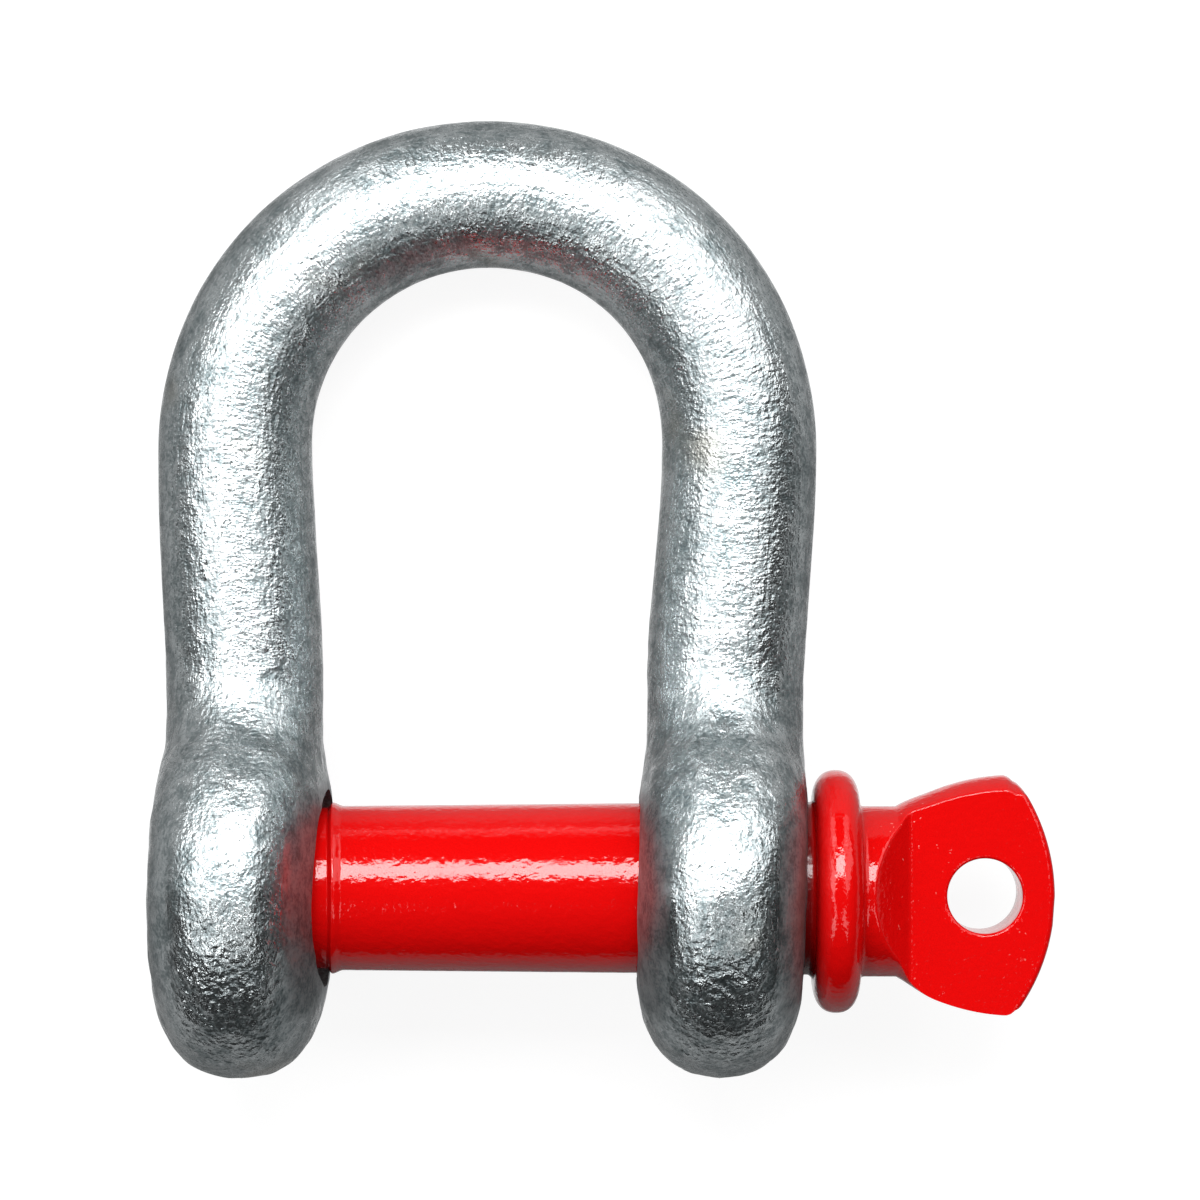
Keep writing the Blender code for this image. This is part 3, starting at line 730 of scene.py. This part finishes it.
def zinc_material():
    """Hot-dip zinc: its patterns follow the bar, its grain is calmer on the eyes' faces, and those beside
    the pin and its collar, all but the left eye's outer one, are duller and darker by painted shade."""
    n = Nodes("hot_dip_zinc")
    where = n.add("TexCoord", {})["Object"]
    place_x, place_y = n.split(where)[:2]
    along, sideways = n.split(n.add("UVMap", {}, uv_map="bar_plane")[0])[:2]
    depth = n.split(n.add("UVMap", {}, uv_map="bar_depth")[0])[0]
    bar = n.joined(along, sideways, depth)
    arched = n.joined(n.math("SUBTRACT", along, n.times(depth, DASH_ARCH)), sideways, depth)
    mottle = n.noise(bar, MOTTLE)
    fibre = n.noise(n.stretched(bar, FIBRE_STRETCH), FIBRE)
    dash = n.noise(n.stretched(arched, DASH_STRETCH), DASH)
    across = n.math("ABSOLUTE", sideways)
    side = n.spread(across, *BAR_SIDE)
    eyes = n.spread(place_y, *EYES_Y, 1.0, 0.0)
    lower = n.spread(place_y, *LOWER_Y, CHIP_LOWER, CHIP_UPPER)
    # Painted shade: the eyes' faces beside the pin and collar are darkened here, and also made duller
    heights = n.times(n.spread(place_y, *BESIDE_TOP_Y, 1.0, 0.0), n.spread(place_y, *BESIDE_LOW_Y))
    beside = n.times(n.times(n.spread(across, *FACE_SHADE), n.spread(place_x, *BESIDE_X)), heights)
    share = zinc_share(n, where, bar, mottle, fibre)
    calm = n.times(eyes, n.spread(across, *FACE_CALM))
    height = zinc_height(n, where, bar, mottle, fibre, dash, side, eyes, lower)
    grain_rough = n.spread(share, 0.2, 0.8, ROUGH_DARK, ROUGH_LIGHT)
    n.fill(n.shader, {
        "Base Color": zinc_colour(n, where, share, beside),
        "Metallic": 1.0,
        "Roughness": n.math("MAXIMUM", grain_rough, n.times(beside, ROUGH_BESIDE)),
        "Normal": n.bump(height, n.spread(calm, 0.0, 1.0, 1.0, CALM_STRENGTH), ZINC_BUMP),
    })
    return n.material


# Paint's colours, patterns as scale, detail and roughness per metre, and zones along the scene's x
# The slot's colour, zones and strength paint shade where the pin runs between the right eye and the collar
PAINT_RED, PAINT_SPECK, PAINT_SLOT_SHADE = (0.62, 0.0024, 0.0024), (0.85, 0.30, 0.26), (0.07, 0.001, 0.001)
SPECKS, SPECK_PATCHES, PEEL, RUNS = (1500, 1, 0.5), (75, 1, 0.5), (1000, 2, 0.5), (260, 1, 0.5)
SLOT_BEGINS, SLOT_ENDS, SPECKS_BEGIN = (0.026, 0.028), (0.0312, 0.0328), (0.040, 0.044)
SLOT_SHADE_STRENGTH, SLOT_ROUGH, PAINT_ROUGH = 0.85, 0.15, 0.09
PAINT_BUMP, PAINT_BUMP_STRENGTH = 0.0006, 0.30


def paint_material():
    """Gloss red paint with orange peel, pale specks in patches on the neck and head, and a dark painted
    shade where the pin runs through the slot between the right eye and the collar."""
    n = Nodes("gloss_red_paint")
    where = n.add("TexCoord", {})["Object"]
    place_x = n.split(where)[0]
    # Painted shade: a dark colour, and a rougher finish, in the slot between the right eye and the collar
    slot = n.times(n.spread(place_x, *SLOT_ENDS, SLOT_SHADE_STRENGTH, 0.0), n.spread(place_x, *SLOT_BEGINS))
    patches = n.spread(n.noise(where, SPECK_PATCHES), 0.48, 0.60)
    speck = n.times(n.spread(n.noise(where, SPECKS), 0.725, 0.79), patches)
    speck = n.times(speck, n.spread(place_x, *SPECKS_BEGIN))
    dusty = n.colour(n.times(speck, 0.50), PAINT_RED, PAINT_SPECK)
    height = n.plus(n.times(n.noise(where, PEEL), 0.5), n.times(n.noise(where, RUNS), 0.5))
    height = n.plus(height, n.times(speck, 0.10))
    n.fill(n.shader, {
        "Base Color": n.colour(slot, dusty, PAINT_SLOT_SHADE),
        "Roughness": n.plus(n.times(slot, SLOT_ROUGH), PAINT_ROUGH),
        "Normal": n.bump(height, PAINT_BUMP_STRENGTH, PAINT_BUMP),
    })
    return n.material


# Floor, light and camera
FLOOR_HALF, FLOOR_GREY, FLOOR_SEEN, STUDIO_GREY = 3.0, 0.2, 0.88, 0.01
FLOOR_SLANT, MIRRORED_STRAIGHT, MIRRORED_SLANTED = (0.035, 0.12), 0.85, 0.10
LENS, SENSOR, NEAR, FAR = 136.5, 36, 0.05, 20
CAMERA_PLACE = (0.0172, 0.0443, 0.700)

# Soft boxes, each at LAMP_DISTANCE from a point just over the floor: name, degrees above and beside the
# camera's axis, width and height in metres, and radiance
LAMP_DISTANCE, LAMP_CENTRE = 1.1, Vector((0, 0, 0.02))
LAMPS = (
    ("main_softbox", 26, -2, 0.68, 0.40, 13.0),
    ("left_box", 12, -38, 0.55, 0.69, 3.2),
    ("high_left", 38, -62, 0.49, 0.55, 0.6),
    ("overhead_left", 70, -27, 0.43, 0.72, 1.6),
    ("overhead_right", 70, 26, 0.47, 0.72, 1.4),
    ("right_strip", 25, 37, 0.51, 1.12, 1.8),
    ("upper_left", 47, -22, 0.32, 0.44, 1.7),
    ("upper_right", 47, 22, 0.32, 0.44, 1.6),
    ("low_left", -30, -26, 0.28, 0.60, 3.0),
    ("low_right", -30, 20, 0.25, 0.60, 2.2),
)


def make_lamp(name, elevation, sideways, width, height, radiance):
    """A soft box that faces the object: its direction is the camera's axis, raised and then turned aside
    in the shackle's own frame, and its power is radiance times pi times its area."""
    c, s = math.cos(TILT), math.sin(TILT)
    right, up, ahead = Vector((1, 0, 0)), Vector((0, c, -s)), Vector((0, s, c))
    e, a = math.radians(elevation), math.radians(sideways)
    direction = ahead * math.cos(e) * math.cos(a) + up * math.sin(e) * math.cos(a) + right * math.sin(a)
    data = bpy.data.lights.new(name, "AREA")
    data.shape = "RECTANGLE"
    data.size, data.size_y = width, height
    data.energy = radiance * math.pi * width * height
    lamp = bpy.data.objects.new(name, data)
    lamp.location = direction * LAMP_DISTANCE + LAMP_CENTRE
    lamp.rotation_euler = direction.to_track_quat("Z", "Y").to_euler()
    bpy.context.scene.collection.objects.link(lamp)


def floor_material():
    """A white floor: it glows for the camera, and in reflections that meet it nearly straight on. In those
    that meet it at a slant it is faint."""
    n = Nodes("floor_white")
    path = n.add("LightPath", {})
    facing = n.add("LayerWeight", {"Blend": 0.5})["Facing"]
    slant = n.spread(facing, *FLOOR_SLANT, MIRRORED_STRAIGHT, MIRRORED_SLANTED)
    mirrored = n.times(path["Is Glossy Ray"], slant)
    n.fill(n.shader, {
        "Base Color": (FLOOR_GREY, FLOOR_GREY, FLOOR_GREY, 1),
        "Roughness": 1.0,
        "Specular IOR Level": 0.0,
        "Emission Color": (1, 1, 1, 1),
        "Emission Strength": n.plus(n.times(path["Is Camera Ray"], FLOOR_SEEN), mirrored),
    })
    return n.material


def make_floor():
    """One flat square that the object lies on."""
    side = FLOOR_HALF
    mesh = bpy.data.meshes.new("floor")
    corners = [(-side, -side, 0), (side, -side, 0), (side, side, 0), (-side, side, 0)]
    mesh.from_pydata(corners, [], [(0, 1, 2, 3)])
    mesh.materials.append(floor_material())
    floor = bpy.data.objects.new("floor", mesh)
    bpy.context.scene.collection.objects.link(floor)


def make_camera():
    """Looks square down on the bow's plane, from CAMERA_PLACE in the shackle's own frame."""
    data = bpy.data.cameras.new("camera")
    data.lens, data.sensor_width = LENS, SENSOR
    data.clip_start, data.clip_end = NEAR, FAR
    camera = bpy.data.objects.new("camera", data)
    bpy.context.scene.collection.objects.link(camera)
    lay = Matrix.Translation(PLACE) @ Matrix.Rotation(-TILT, 4, "X")
    camera.matrix_world = lay @ Matrix.Translation(CAMERA_PLACE)
    bpy.context.scene.camera = camera


def make_world():
    """A nearly black studio, so that the soft boxes do the lighting."""
    world = bpy.data.worlds.new("studio")
    world.use_nodes = True
    colour = (STUDIO_GREY, STUDIO_GREY, STUDIO_GREY, 1)
    world.node_tree.nodes["Background"].inputs["Color"].default_value = colour
    bpy.context.scene.world = world


zinc, paint = zinc_material(), paint_material()
bow = make_bow(zinc)
pin = make_pin(paint)
for piece, node, body, slot in ((bow, "bow", "bow", "galvanised_steel"), (pin, "pin", "pin", "red_paint")):
    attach(piece, body)
    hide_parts(node)
make_floor()
make_world()
for lamp_row in LAMPS:
    make_lamp(*lamp_row)
bpy.context.scene.view_settings.view_transform = "Standard"
make_camera()
